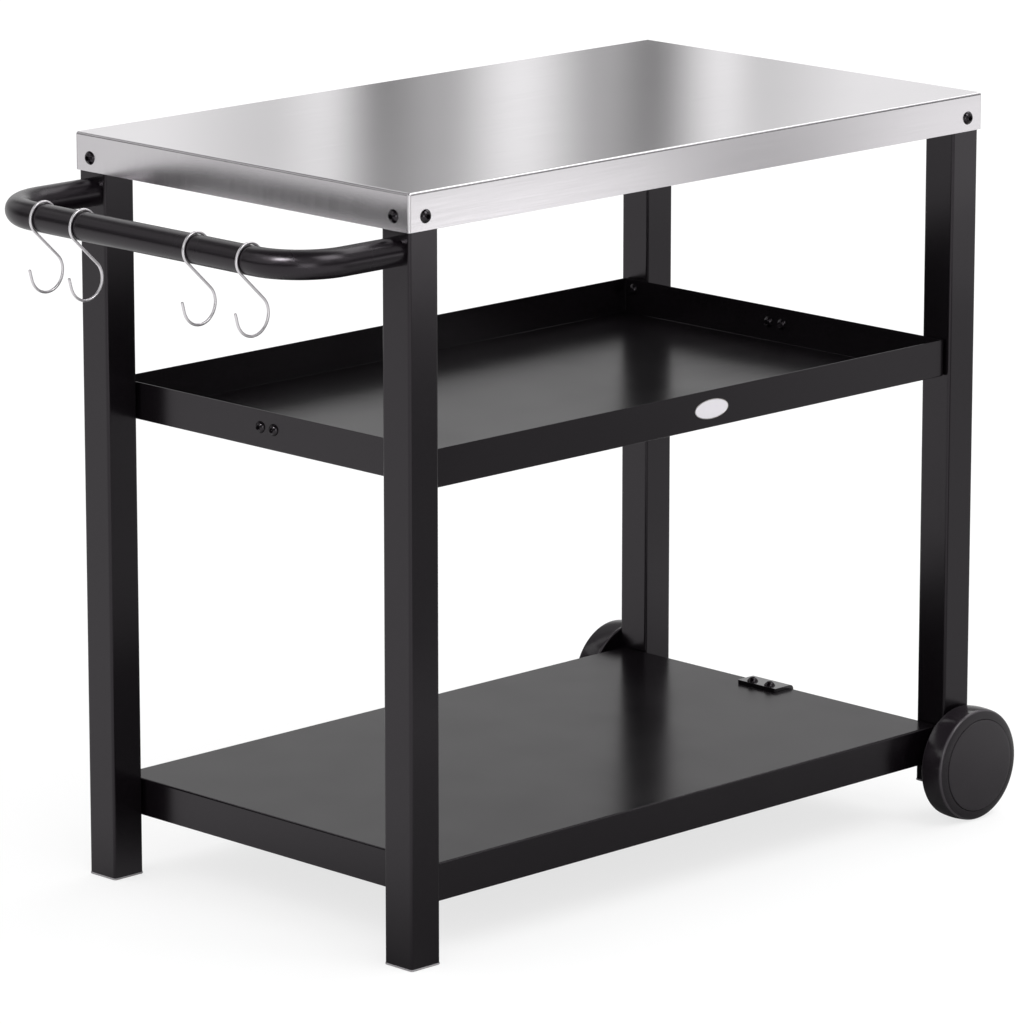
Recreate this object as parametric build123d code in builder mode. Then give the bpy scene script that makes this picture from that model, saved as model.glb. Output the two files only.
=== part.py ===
"""Serving cart: a stainless tabletop on four square legs, an open tray, a low shelf, a tube handle with four
wire hooks at one end and two wheels at the other. Millimetres, +Z up, +X towards the wheel end, -Y to the front.
The origin is on the floor, in the middle of the cart's outline."""
import os
from math import atan2, asin, cos, degrees, hypot, radians, sin

from build123d import *

os.makedirs("parts", exist_ok=True)

# Tabletop: stainless sheet folded into a pan that faces down
top_length = 850
top_width = 500
top_height = 800
top_sheet = 1.2
top_flange = 40
top_fold = 2.0
top_corner = 2.2
top_screw_drop = 25.5

# Stiffener: hat section welded under the tabletop sheet
stiffener_web = 60
stiffener_depth = 20
stiffener_lip = 15
stiffener_sheet = 1.2
stiffener_end_gap = 25

# Legs: square steel tube
leg_size = 40
leg_wall = 1.5
leg_corner = 3.0
leg_below_axle = 25.5

# Plastic caps in the lower ends of the legs
cap_flange = 2.0
cap_overhang = 0.5
cap_insert = 14.0
cap_wall = 2.5
cap_play = 0.1
cap_edge = 0.8

# Dome-head screws with a hexagon socket, all of one thread; those in the tabletop have larger heads
screw_d = 6.0
screw_head_d = 13.0
top_screw_head_d = 14.5
screw_head_height = 4.5
screw_hole_play = 0.4
screw_end_gap = 2.0
thread_play = 0.05
socket_width = 5.0
socket_depth = 2.6

# Threaded inserts, set in the tube walls; each flange stands between the tube and the sheet
insert_d = 9.0
insert_flange_d = 12.5
insert_flange = 1.5
insert_bulge_d = 12.0
insert_bulge = 3.0
insert_play = 0.1
insert_gap = 1.0

# Hexagon nuts for the same thread
nut_width = 10.0
nut_height = 5.0
nut_thread_past = 2.0

# Middle tray: sheet folded into a pan that faces up
tray_top = 534
tray_depth = 40
tray_sheet = 1.2
tray_setback = 7.3
tray_fold = 3.0
tray_corner = 3.5
tray_bolt_drop = 11.5
tray_pair_drop = 18.0
tray_pair_spacing = 20.0
tray_pair_shift = 8.0

# Oval label plate on the tray's front wall
label_length = 50.0
label_height = 21.0
label_sheet = 0.8
label_shift = 18.0

# Bottom shelf: sheet folded into a pan that faces down
shelf_top = 104
shelf_depth = 40
shelf_sheet = 1.2
shelf_setback = 7.3
shelf_fold = 3.0
shelf_corner = 3.5
shelf_bolt_drop = 22.0

# Bent bracket over the shelf's wheel-end edge
bracket_length = 58.0
bracket_width = 30.0
bracket_drop = 25.0
bracket_plate = 4.0
bracket_bend = 5.5
bracket_shift = 8.0
bracket_bolt_spacing = 26.0
bracket_bolt_inset = 18.0
bracket_round = 2.0

# Handle: round tube bent to a U, butted against the legs
handle_tube = 30.0
handle_wall = 1.5
handle_bend = 60.0
handle_reach = 131.0
handle_gap = 6.5
plug_length = 18.0
plug_play = 0.05
handle_bolt_d = 8.0
handle_bolt_head_d = 16.0
handle_bolt_head = 5.0
handle_bolt_grip = 14.0
handle_hole_play = 0.25

# S-hooks of round wire, hung on the handle's bar
hook_wire = 3.0
hook_play = 0.4
hook_radius = 21.0
hook_drop = 55.8
hook_shift = 3.9
hook_mouth_angle = 25.0
hook_tip = 11.0
hook_tip_lean = 15.0
hook_end_gap_back = 15.0
hook_end_gap_front = 10.0
hook_spacing_back = 61.0
hook_spacing_front = 78.0

# Wheels: hollow mouldings on bolts through the legs
wheel_d = 125.0
wheel_width = 35.0
wheel_gap = 2.7
wheel_wall = 3.0
wheel_web = 3.0
wheel_crown = 1.2
wheel_rim_inset = 2.0
wheel_crease = 5.5
wheel_crease_round = 0.8
wheel_face_bulge = 0.6
wheel_hub_wall = 3.0
wheel_ribs = 6
wheel_rib = 2.5
wheel_rib_inset = 4.0
cover_d = 101.6
cover_sheet = 2.4
cover_play = 0.15
cover_edge = 0.5
cover_step = 0.3
cover_dome = 2.0
cover_spigot = 3.0
cover_spigot_wall = 1.5

# Axle bolts, with a washer under the head and the nut
axle_d = 10.0
axle_running_play = 0.08
axle_end_play = 0.3
axle_hole_play = 0.25
axle_head_width = 16.0
axle_head = 6.4
axle_pocket_play = 3.0
axle_nut = 10.0
axle_thread_past = 3.0
axle_spacer_d = 18.0
washer_d = 20.0
washer_sheet = 2.0

# The sides and ends of the cart, as signs of Y and X
sides = {"front": -1, "back": 1}
ends = {"handle": -1, "wheel": 1}
corners = [(end, side) for end in ends.values() for side in sides.values()]

# Places of the legs, from the tabletop's middle: the flange bears on the inserts, and they on the tubes
leg_x = top_length / 2 - top_sheet - insert_flange - leg_size / 2
leg_y = top_width / 2 - top_sheet - insert_flange - leg_size / 2
leg_face_x = leg_x + leg_size / 2
leg_face_y = leg_y + leg_size / 2
leg_bore = leg_size - 2 * leg_wall
leg_top = top_height - top_sheet
axle_z = wheel_d / 2
leg_bottom = {"handle": cap_flange, "wheel": axle_z - leg_below_axle}
insert_depth = leg_size / 2 - insert_bulge_d / 2 - insert_gap

# Tray and shelf fill the length between the inserts in the legs' inner faces
pan_half_length = leg_x - leg_size / 2 - insert_flange
tray_half_width = leg_face_y - tray_setback
shelf_half_width = leg_face_y - shelf_setback

# Corner bolts sit on the legs' middle lines, or a little nearer the middle where a head would reach a pan's corner
tray_bolt_y = min(leg_y, tray_half_width - tray_corner - screw_head_d / 2)
shelf_bolt_y = min(leg_y, shelf_half_width - shelf_corner - screw_head_d / 2)

# Handle's bar and the S-curve of the hooks: two arcs and the straight shank that touches both
bar_reach = leg_face_x + handle_reach
handle_z = top_height - top_flange - handle_gap - handle_tube / 2
bar_half = leg_y - handle_bend
hook_loop = handle_tube / 2 + hook_play + hook_wire / 2
hook_lean = atan2(hook_shift, hook_drop) + asin((hook_loop + hook_radius) / hypot(hook_shift, hook_drop))
hook_shank_angle = degrees(hook_lean)
tip_angle = radians(hook_tip_lean)
hook_tip_out = (hook_radius + hook_wire / 2) * cos(tip_angle) + hook_tip * sin(tip_angle) - hook_shift
hook_out = max(hook_tip_out, hook_loop + hook_wire / 2)

# The tabletop's middle lies off the origin, because the hooks reach out further than the wheels
outline_low = -bar_reach - hook_out
outline_high = max(top_length / 2, leg_x + wheel_d / 2)
middle_x = -(outline_low + outline_high) / 2
bar_x = middle_x - bar_reach

# Where the fasteners go: each plane lies on the face that a head, flange or nut bears on, facing outwards
screw_z = top_height - top_screw_drop
tray_bolt_z = tray_top - tray_bolt_drop
tray_pair_z = tray_top - tray_pair_drop
shelf_bolt_z = shelf_top - shelf_bolt_drop


def facing_x(x, y, z, way):
    """A plane at a distance x from the tabletop's middle, facing along X."""
    return Plane(origin=(middle_x + x, y, z), z_dir=(way, 0, 0))


def facing_y(x, y, z, way):
    """A plane at a distance x from the tabletop's middle, facing along Y."""
    return Plane(origin=(middle_x + x, y, z), z_dir=(0, way, 0))


top_screw_planes = []
top_insert_planes = []
tray_bolt_planes = []
tray_insert_planes = []
shelf_bolt_planes = []
shelf_insert_planes = []
pan_inside = pan_half_length - tray_sheet
shelf_inside = pan_half_length - shelf_sheet
leg_inner_x = leg_x - leg_size / 2
for end, side in corners:
    top_screw_planes.append(facing_x(end * top_length / 2, side * leg_y, screw_z, end))
    top_screw_planes.append(facing_y(end * leg_x, side * top_width / 2, screw_z, side))
    top_insert_planes.append(facing_x(end * leg_face_x, side * leg_y, screw_z, end))
    top_insert_planes.append(facing_y(end * leg_x, side * leg_face_y, screw_z, side))
    tray_bolt_planes.append(facing_x(end * pan_inside, side * tray_bolt_y, tray_bolt_z, -end))
    tray_insert_planes.append(facing_x(end * leg_inner_x, side * tray_bolt_y, tray_bolt_z, -end))
    shelf_bolt_planes.append(facing_x(end * shelf_inside, side * shelf_bolt_y, shelf_bolt_z, -end))
    shelf_insert_planes.append(facing_x(end * leg_inner_x, side * shelf_bolt_y, shelf_bolt_z, -end))

# The tray's end bolts have their heads towards the handle end on both walls
pair_ys = [tray_pair_shift - tray_pair_spacing / 2, tray_pair_shift + tray_pair_spacing / 2]
pair_head_planes = []
pair_nut_planes = []
for y in pair_ys:
    pair_head_planes.append(facing_x(-pan_half_length, y, tray_pair_z, -1))
    pair_head_planes.append(facing_x(pan_inside, y, tray_pair_z, -1))
    pair_nut_planes.append(facing_x(-pan_inside, y, tray_pair_z, 1))
    pair_nut_planes.append(facing_x(pan_half_length, y, tray_pair_z, 1))

bracket_bolt_x = middle_x + pan_half_length - bracket_bolt_inset
bracket_head_planes = []
bracket_nut_planes = []
for way in (-1, 1):
    y = bracket_shift + way * bracket_bolt_spacing / 2
    bracket_head_planes.append(Plane((bracket_bolt_x, y, shelf_top + bracket_plate)))
    bracket_nut_planes.append(Plane(origin=(bracket_bolt_x, y, shelf_top - shelf_sheet), z_dir=(0, 0, -1)))


# Hardware, each made once on the XY plane and then set at its places


def dome_screw(thread_d, head_d, head_height, length):
    """A dome-head screw with a hexagon socket; the head's underside is on the XY plane."""
    dome = (head_d**2 / 4 + head_height**2) / (2 * head_height)
    dome_angle = degrees(atan2(head_d / 2, dome - head_height))
    with BuildPart() as screw:
        with BuildSketch(Plane.XZ):
            with BuildLine():
                cap = CenterArc((0, head_height - dome), dome, 90 - dome_angle, dome_angle)
                Polyline(
                    cap @ 1,
                    (0, -length),
                    (thread_d / 2, -length),
                    (thread_d / 2, 0),
                    cap @ 0,
                )
            make_face()
        revolve(axis=Axis.Z)
        with BuildSketch(Plane.XY.offset(head_height)):
            RegularPolygon(socket_width / 2, 6, major_radius=False)
        extrude(amount=-socket_depth, mode=Mode.SUBTRACT)
    return screw.part


def threaded_insert():
    """A threaded insert set in a tube wall; the underside of its flange is on the XY plane."""
    with BuildPart() as insert:
        with BuildSketch():
            Circle(insert_flange_d / 2)
        extrude(amount=insert_flange)
        with BuildSketch():
            Circle(insert_d / 2)
        extrude(amount=-insert_depth)
        with BuildSketch(Plane.XY.offset(-leg_wall)):
            Circle(insert_bulge_d / 2)
        extrude(amount=-insert_bulge)
        with Locations((0, 0, insert_flange)):
            Hole(screw_d / 2 + thread_play)
    return insert.part


def hexagon_nut(width, height, bore_d):
    """A hexagon nut with chamfered corners, standing on the XY plane."""
    with BuildPart() as nut:
        with BuildSketch():
            RegularPolygon(width / 2, 6, major_radius=False)
        extrude(amount=height)
        with BuildSketch():
            Circle(width / 2 + width / 25)
        extrude(amount=height, mode=Mode.INTERSECT)
        with Locations((0, 0, height)):
            Hole(bore_d / 2)
    return nut.part


def hexagon_bolt(thread_d, width, head, length):
    """A hexagon-head bolt; the head's underside is on the XY plane."""
    with BuildPart() as bolt:
        with BuildSketch():
            RegularPolygon(width / 2, 6, major_radius=False)
        extrude(amount=head)
        with BuildSketch():
            Circle(thread_d / 2)
        extrude(amount=-length)
    return bolt.part


insert = threaded_insert()
m_nut = hexagon_nut(nut_width, nut_height, screw_d + 2 * thread_play)
insert_reach = insert_flange + insert_depth - screw_end_gap
nut_reach = nut_height + nut_thread_past
screw_hole = screw_d / 2 + screw_hole_play

# Tabletop, with a hole for each screw
with BuildPart() as tabletop:
    with BuildSketch(Plane((middle_x, 0, top_height - top_flange))):
        RectangleRounded(top_length, top_width, top_corner)
    extrude(amount=top_flange)
    fillet(tabletop.faces().sort_by(Axis.Z)[-1].edges(), radius=top_fold)
    offset(amount=-top_sheet, openings=tabletop.faces().sort_by(Axis.Z)[0])
    with Locations(*top_screw_planes):
        Hole(screw_hole, depth=2 * top_sheet)
tabletop.part.label = "tabletop"
export_step(tabletop.part, "parts/tabletop.step")

# Stiffener, a hat section along the middle of the tabletop's underside
stiffener_half = leg_inner_x - stiffener_end_gap
with BuildPart() as top_stiffener:
    with BuildSketch(Plane(origin=(middle_x - stiffener_half, 0, leg_top), x_dir=(0, 1, 0), z_dir=(1, 0, 0))):
        with BuildLine():
            Polyline(
                (-stiffener_web / 2 - stiffener_lip, -stiffener_sheet / 2),
                (-stiffener_web / 2, -stiffener_sheet / 2),
                (-stiffener_web / 2, stiffener_sheet / 2 - stiffener_depth),
                (stiffener_web / 2, stiffener_sheet / 2 - stiffener_depth),
                (stiffener_web / 2, -stiffener_sheet / 2),
                (stiffener_web / 2 + stiffener_lip, -stiffener_sheet / 2),
            )
            offset(amount=stiffener_sheet / 2, kind=Kind.INTERSECTION, side=Side.BOTH)
        make_face()
    extrude(amount=2 * stiffener_half)
top_stiffener.part.label = "top_stiffener"
export_step(top_stiffener.part, "parts/top_stiffener.step")

# Legs: holes for the inserts, and right through for the handle's bolts or the axles
for end_name, end in ends.items():
    for side_name, side in sides.items():
        corner = corners.index((end, side))
        leg_middle = (middle_x + end * leg_x, side * leg_y, leg_bottom[end_name])
        insert_planes = top_insert_planes[2 * corner : 2 * corner + 2]
        insert_planes += [tray_insert_planes[corner], shelf_insert_planes[corner]]
        with BuildPart() as leg:
            with BuildSketch(Plane(leg_middle)):
                RectangleRounded(leg_size, leg_size, leg_corner)
                RectangleRounded(leg_bore, leg_bore, leg_corner - leg_wall, mode=Mode.SUBTRACT)
            extrude(amount=leg_top - leg_bottom[end_name])
            with Locations(*insert_planes):
                Hole(insert_d / 2 + insert_play, depth=2 * leg_wall)
            if end_name == "handle":
                with Locations(facing_x(end * leg_face_x, side * leg_y, handle_z, end)):
                    Hole(handle_bolt_d / 2 + handle_hole_play, depth=leg_size)
            else:
                with Locations(facing_y(end * leg_x, side * leg_face_y, axle_z, side)):
                    Hole(axle_d / 2 + axle_hole_play, depth=leg_size)
        leg.part.label = f"leg_{end_name}_{side_name}"
        export_step(leg.part, f"parts/leg_{end_name}_{side_name}.step")

        # The cap under this leg: a plate a little wider than the tube, with a hollow plug inside it
        cap_size = leg_size + 2 * cap_overhang
        plug = leg_bore - 2 * cap_play
        plug_round = leg_corner - leg_wall
        with BuildPart() as cap:
            with BuildSketch(Plane(leg_middle)):
                RectangleRounded(cap_size, cap_size, leg_corner + cap_overhang)
            extrude(amount=-cap_flange)
            fillet(cap.faces().sort_by(Axis.Z)[0].edges(), radius=cap_edge)
            with BuildSketch(Plane(leg_middle)):
                RectangleRounded(plug, plug, plug_round)
                Rectangle(plug - 2 * cap_wall, plug - 2 * cap_wall, mode=Mode.SUBTRACT)
            extrude(amount=cap_insert)
        cap_name = f"foot_cap_{side_name}" if end_name == "handle" else f"leg_cap_{side_name}"
        cap.part.label = cap_name
        export_step(cap.part, f"parts/{cap_name}.step")

# Tabletop screws and the inserts that they turn into
with BuildPart() as tabletop_screws:
    with Locations(*top_screw_planes):
        add(dome_screw(screw_d, top_screw_head_d, screw_head_height, top_sheet + insert_reach))
tabletop_screws.part.label = "tabletop_screws"
export_step(tabletop_screws.part, "parts/tabletop_screws.step")

with BuildPart() as tabletop_inserts:
    with Locations(*top_insert_planes):
        add(insert)
tabletop_inserts.part.label = "tabletop_inserts"
export_step(tabletop_inserts.part, "parts/tabletop_inserts.step")

# Middle tray
with BuildPart() as middle_tray:
    with BuildSketch(Plane((middle_x, 0, tray_top - tray_depth))):
        RectangleRounded(2 * pan_half_length, 2 * tray_half_width, tray_corner)
    extrude(amount=tray_depth)
    fillet(middle_tray.faces().sort_by(Axis.Z)[0].edges(), radius=tray_fold)
    offset(amount=-tray_sheet, openings=middle_tray.faces().sort_by(Axis.Z)[-1])
    with Locations(*tray_bolt_planes, *pair_nut_planes[0::2]):
        Hole(screw_hole, depth=2 * tray_sheet)
    with Locations(*pair_head_planes[1::2]):
        Hole(screw_hole, depth=2 * tray_sheet)
middle_tray.part.label = "middle_tray"
export_step(middle_tray.part, "parts/middle_tray.step")

with BuildPart() as tray_corner_bolts:
    with Locations(*tray_bolt_planes):
        add(dome_screw(screw_d, screw_head_d, screw_head_height, tray_sheet + insert_reach))
tray_corner_bolts.part.label = "tray_corner_bolts"
export_step(tray_corner_bolts.part, "parts/tray_corner_bolts.step")

with BuildPart() as tray_corner_inserts:
    with Locations(*tray_insert_planes):
        add(insert)
tray_corner_inserts.part.label = "tray_corner_inserts"
export_step(tray_corner_inserts.part, "parts/tray_corner_inserts.step")

with BuildPart() as tray_end_bolts:
    with Locations(*pair_head_planes):
        add(dome_screw(screw_d, screw_head_d, screw_head_height, tray_sheet + nut_reach))
tray_end_bolts.part.label = "tray_end_bolts"
export_step(tray_end_bolts.part, "parts/tray_end_bolts.step")

with BuildPart() as tray_end_nuts:
    with Locations(*pair_nut_planes):
        add(m_nut)
tray_end_nuts.part.label = "tray_end_nuts"
export_step(tray_end_nuts.part, "parts/tray_end_nuts.step")

# Blank oval plate on the middle of the tray's front wall
label_middle = (middle_x + label_shift, -tray_half_width, tray_top - tray_depth / 2)
with BuildPart() as label_plate:
    with BuildSketch(Plane(origin=label_middle, x_dir=(1, 0, 0), z_dir=(0, -1, 0))):
        Ellipse(label_length / 2, label_height / 2)
    extrude(amount=label_sheet)
    fillet(label_plate.faces().sort_by(Axis.Y)[0].edges(), radius=label_sheet / 3)
label_plate.part.label = "label_plate"
export_step(label_plate.part, "parts/label_plate.step")

# Bottom shelf
with BuildPart() as bottom_shelf:
    with BuildSketch(Plane((middle_x, 0, shelf_top - shelf_depth))):
        RectangleRounded(2 * pan_half_length, 2 * shelf_half_width, shelf_corner)
    extrude(amount=shelf_depth)
    fillet(bottom_shelf.faces().sort_by(Axis.Z)[-1].edges(), radius=shelf_fold)
    offset(amount=-shelf_sheet, openings=bottom_shelf.faces().sort_by(Axis.Z)[0])
    with Locations(*shelf_bolt_planes, *bracket_nut_planes):
        Hole(screw_hole, depth=2 * shelf_sheet)
bottom_shelf.part.label = "bottom_shelf"
export_step(bottom_shelf.part, "parts/bottom_shelf.step")

with BuildPart() as shelf_corner_bolts:
    with Locations(*shelf_bolt_planes):
        add(dome_screw(screw_d, screw_head_d, screw_head_height, shelf_sheet + insert_reach))
shelf_corner_bolts.part.label = "shelf_corner_bolts"
export_step(shelf_corner_bolts.part, "parts/shelf_corner_bolts.step")

with BuildPart() as shelf_corner_inserts:
    with Locations(*shelf_insert_planes):
        add(insert)
shelf_corner_inserts.part.label = "shelf_corner_inserts"
export_step(shelf_corner_inserts.part, "parts/shelf_corner_inserts.step")

# Bracket: a plate bent down over the shelf's wheel-end edge, bolted through the shelf
bracket_edge = (middle_x + pan_half_length, bracket_shift, shelf_top)
with BuildPart() as shelf_bracket:
    with BuildSketch(Plane(origin=bracket_edge, x_dir=(1, 0, 0), z_dir=(0, -1, 0))):
        with Locations((bracket_plate, bracket_plate)):
            Rectangle(bracket_width, bracket_plate, align=(Align.MAX, Align.MAX))
            Rectangle(bracket_plate, bracket_plate + bracket_drop, align=(Align.MAX, Align.MAX))
    extrude(amount=bracket_length / 2, both=True)
    along_bend = shelf_bracket.edges().filter_by(Axis.Y)
    fillet(along_bend.group_by(Axis.X)[-1].sort_by(Axis.Z)[-1], radius=bracket_bend)
    fillet(shelf_bracket.edges().filter_by(Axis.Z).group_by(Axis.X)[0], radius=bracket_round)
    with Locations(*bracket_head_planes):
        Hole(screw_hole, depth=2 * bracket_plate)
shelf_bracket.part.label = "shelf_bracket"
export_step(shelf_bracket.part, "parts/shelf_bracket.step")

with BuildPart() as bracket_bolts:
    with Locations(*bracket_head_planes):
        add(dome_screw(screw_d, screw_head_d, screw_head_height, bracket_plate + shelf_sheet + nut_reach))
bracket_bolts.part.label = "bracket_bolts"
export_step(bracket_bolts.part, "parts/bracket_bolts.step")

with BuildPart() as bracket_nuts:
    with Locations(*bracket_nut_planes):
        add(m_nut)
bracket_nuts.part.label = "bracket_nuts"
export_step(bracket_nuts.part, "parts/bracket_nuts.step")

# Handle: a bent tube from leg to leg, with a threaded plug in each end
handle_end_x = middle_x - leg_face_x
with BuildPart() as handle:
    with BuildLine(Plane.XY.offset(handle_z)):
        FilletPolyline(
            (handle_end_x, -leg_y),
            (bar_x, -leg_y),
            (bar_x, leg_y),
            (handle_end_x, leg_y),
            radius=handle_bend,
        )
    with BuildSketch(Plane(origin=(handle_end_x, -leg_y, handle_z), z_dir=(-1, 0, 0))):
        Circle(handle_tube / 2)
        Circle(handle_tube / 2 - handle_wall, mode=Mode.SUBTRACT)
    sweep()
handle.part.label = "handle"
export_step(handle.part, "parts/handle.step")

plug_planes = [facing_x(-leg_face_x, side * leg_y, handle_z, -1) for side in sides.values()]
with BuildPart() as handle_plugs:
    for plane in plug_planes:
        with BuildSketch(plane):
            Circle(handle_tube / 2 - handle_wall - plug_play)
            Circle(handle_bolt_d / 2 + thread_play, mode=Mode.SUBTRACT)
        extrude(amount=plug_length)
handle_plugs.part.label = "handle_plugs"
export_step(handle_plugs.part, "parts/handle_plugs.step")

handle_bolt_planes = [facing_x(-leg_inner_x, side * leg_y, handle_z, 1) for side in sides.values()]
with BuildPart() as handle_bolts:
    with Locations(*handle_bolt_planes):
        add(dome_screw(handle_bolt_d, handle_bolt_head_d, handle_bolt_head, leg_size + handle_bolt_grip))
handle_bolts.part.label = "handle_bolts"
export_step(handle_bolts.part, "parts/handle_bolts.step")

# Hooks: a loop round the bar, a straight shank and a round lower hook with a short open tip
hook_back = bar_half - hook_end_gap_back
hook_front = hook_end_gap_front - bar_half
hook_places = {
    "hook_back": hook_back,
    "hook_mid_back": hook_back - hook_spacing_back,
    "hook_mid_front": hook_front + hook_spacing_front,
    "hook_front": hook_front,
}
for hook_name, hook_y in hook_places.items():
    hook_plane = Plane(origin=(bar_x, hook_y, handle_z), x_dir=(1, 0, 0), z_dir=(0, -1, 0))
    with BuildPart() as hook:
        with BuildLine(hook_plane) as hook_path:
            loop = CenterArc((0, 0), hook_loop, hook_mouth_angle, 180 + hook_shank_angle - hook_mouth_angle)
            lower_turn = hook_tip_lean - 180 - hook_shank_angle
            lower = CenterArc((hook_shift, -hook_drop), hook_radius, hook_shank_angle, lower_turn)
            Line(loop @ 1, lower @ 0)
            Line(lower @ 1, (lower @ 1) + hook_tip * (lower % 1))
        with BuildSketch(Plane(origin=hook_path.line @ 0, z_dir=hook_path.line % 0)):
            Circle(hook_wire / 2)
        sweep()
    hook.part.label = hook_name
    export_step(hook.part, f"parts/{hook_name}.step")

# Wheels: a crowned tread and hollow inside, a hub with a pocket for the bolt's head, and a recess for the cover
wheel_face_y = leg_face_y + wheel_gap
tread = wheel_d / 2
cover_seat = wheel_width - cover_dome - cover_sheet
pocket = washer_d / 2 + axle_pocket_play
hub = pocket + wheel_hub_wall
hub_seat = cover_seat - axle_end_play - washer_sheet - axle_head - axle_end_play
web_inner = cover_seat - wheel_web
bore = axle_d / 2 + axle_running_play
crease_at = wheel_width - wheel_crease
face_edge_at = wheel_width - cover_dome - cover_step
for side_name, side in sides.items():
    wheel_middle = (middle_x + leg_x, side * wheel_face_y, axle_z)
    axle_axis = Axis(wheel_middle, (0, 1, 0))
    wheel_section = Plane(origin=wheel_middle, x_dir=(1, 0, 0), z_dir=(0, 0, side))
    with BuildPart() as wheel:
        with BuildSketch(wheel_section) as wheel_profile:
            with BuildLine():
                rim_inner = (tread - wheel_crown, wheel_rim_inset)
                rim_outer = (tread - wheel_crown, crease_at)
                rim_middle = (tread, (wheel_rim_inset + crease_at) / 2)
                face_edge = (cover_d / 2 + cover_edge, face_edge_at)
                ThreePointArc(rim_inner, rim_middle, rim_outer)
                SagittaArc(rim_outer, face_edge, wheel_face_bulge)
                Polyline(
                    face_edge,
                    (cover_d / 2, face_edge_at - cover_edge),
                    (cover_d / 2, cover_seat),
                    (pocket, cover_seat),
                    (pocket, hub_seat),
                    (bore, hub_seat),
                    (bore, 0),
                    (hub, 0),
                    (hub, web_inner),
                    (tread - wheel_crown - wheel_wall, web_inner),
                    (tread - wheel_crown - wheel_wall, wheel_rim_inset),
                    rim_inner,
                )
            make_face()
            fillet(wheel_profile.vertices().sort_by_distance(rim_outer)[0], radius=wheel_crease_round)
        revolve(axis=axle_axis)
        rib_length = tread - wheel_crown - wheel_wall / 2 - hub + wheel_hub_wall / 2
        rib_middle = hub - wheel_hub_wall / 2 + rib_length / 2
        rib_depth = web_inner - wheel_rib_inset + wheel_web / 2
        with BuildSketch(facing_y(leg_x, side * (wheel_face_y + wheel_rib_inset), axle_z, side)):
            with PolarLocations(rib_middle, wheel_ribs):
                Rectangle(rib_length, wheel_rib)
        extrude(amount=rib_depth)
    wheel.part.label = f"wheel_{side_name}"
    export_step(wheel.part, f"parts/wheel_{side_name}.step")

    # The cover: a shallow dome in the wheel's recess, with a spigot in the hub's pocket
    cover_rim = cover_d / 2 - cover_play
    spigot = pocket - cover_play
    dome_rim = cover_rim - cover_edge
    dome = (dome_rim**2 + cover_dome**2) / (2 * cover_dome)
    dome_middle = cover_seat + cover_sheet + cover_dome - dome
    dome_angle = degrees(asin(dome_rim / dome))
    with BuildPart() as wheel_cover:
        with BuildSketch(wheel_section):
            with BuildLine():
                dome_arc = CenterArc((0, dome_middle), dome, 90 - dome_angle, dome_angle)
                Polyline(
                    dome_arc @ 1,
                    (0, cover_seat),
                    (spigot - cover_spigot_wall, cover_seat),
                    (spigot - cover_spigot_wall, cover_seat - cover_spigot),
                    (spigot, cover_seat - cover_spigot),
                    (spigot, cover_seat),
                    (cover_rim, cover_seat),
                    (cover_rim, cover_seat + cover_sheet - cover_edge),
                    dome_arc @ 0,
                )
            make_face()
        revolve(axis=axle_axis)
    wheel_cover.part.label = f"wheel_cover_{side_name}"
    export_step(wheel_cover.part, f"parts/wheel_cover_{side_name}.step")

    # The axle bolt: head in the hub's pocket, shank through the wheel, the spacer and the leg
    head_y = wheel_face_y + hub_seat + axle_end_play + washer_sheet
    nut_y = leg_y - leg_size / 2 - washer_sheet
    axle_length = head_y - nut_y + axle_nut + axle_thread_past
    with BuildPart() as axle_bolt:
        with Locations(facing_y(leg_x, side * head_y, axle_z, side)):
            add(hexagon_bolt(axle_d, axle_head_width, axle_head, axle_length))
    axle_bolt.part.label = f"axle_bolt_{side_name}"
    export_step(axle_bolt.part, f"parts/axle_bolt_{side_name}.step")

# Spacers between the legs and the wheels, washers under heads and nuts, and the nuts
with BuildPart() as axle_spacers:
    for side in sides.values():
        with BuildSketch(facing_y(leg_x, side * leg_face_y, axle_z, side)):
            Circle(axle_spacer_d / 2)
            Circle(axle_d / 2 + axle_running_play, mode=Mode.SUBTRACT)
        extrude(amount=wheel_gap - axle_end_play)
axle_spacers.part.label = "axle_spacers"
export_step(axle_spacers.part, "parts/axle_spacers.step")

with BuildPart() as axle_washers:
    for side in sides.values():
        for washer_y in (head_y - washer_sheet, nut_y):
            with BuildSketch(facing_y(leg_x, side * washer_y, axle_z, side)):
                Circle(washer_d / 2)
                Circle(axle_d / 2 + axle_running_play, mode=Mode.SUBTRACT)
            extrude(amount=washer_sheet)
axle_washers.part.label = "axle_washers"
export_step(axle_washers.part, "parts/axle_washers.step")

with BuildPart() as axle_nuts:
    with Locations(*[facing_y(leg_x, side * nut_y, axle_z, -side) for side in sides.values()]):
        add(hexagon_nut(axle_head_width, axle_nut, axle_d + 2 * thread_play))
axle_nuts.part.label = "axle_nuts"
export_step(axle_nuts.part, "parts/axle_nuts.step")
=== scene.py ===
import math

import bmesh
import bpy
from mathutils import Matrix, Vector


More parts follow.
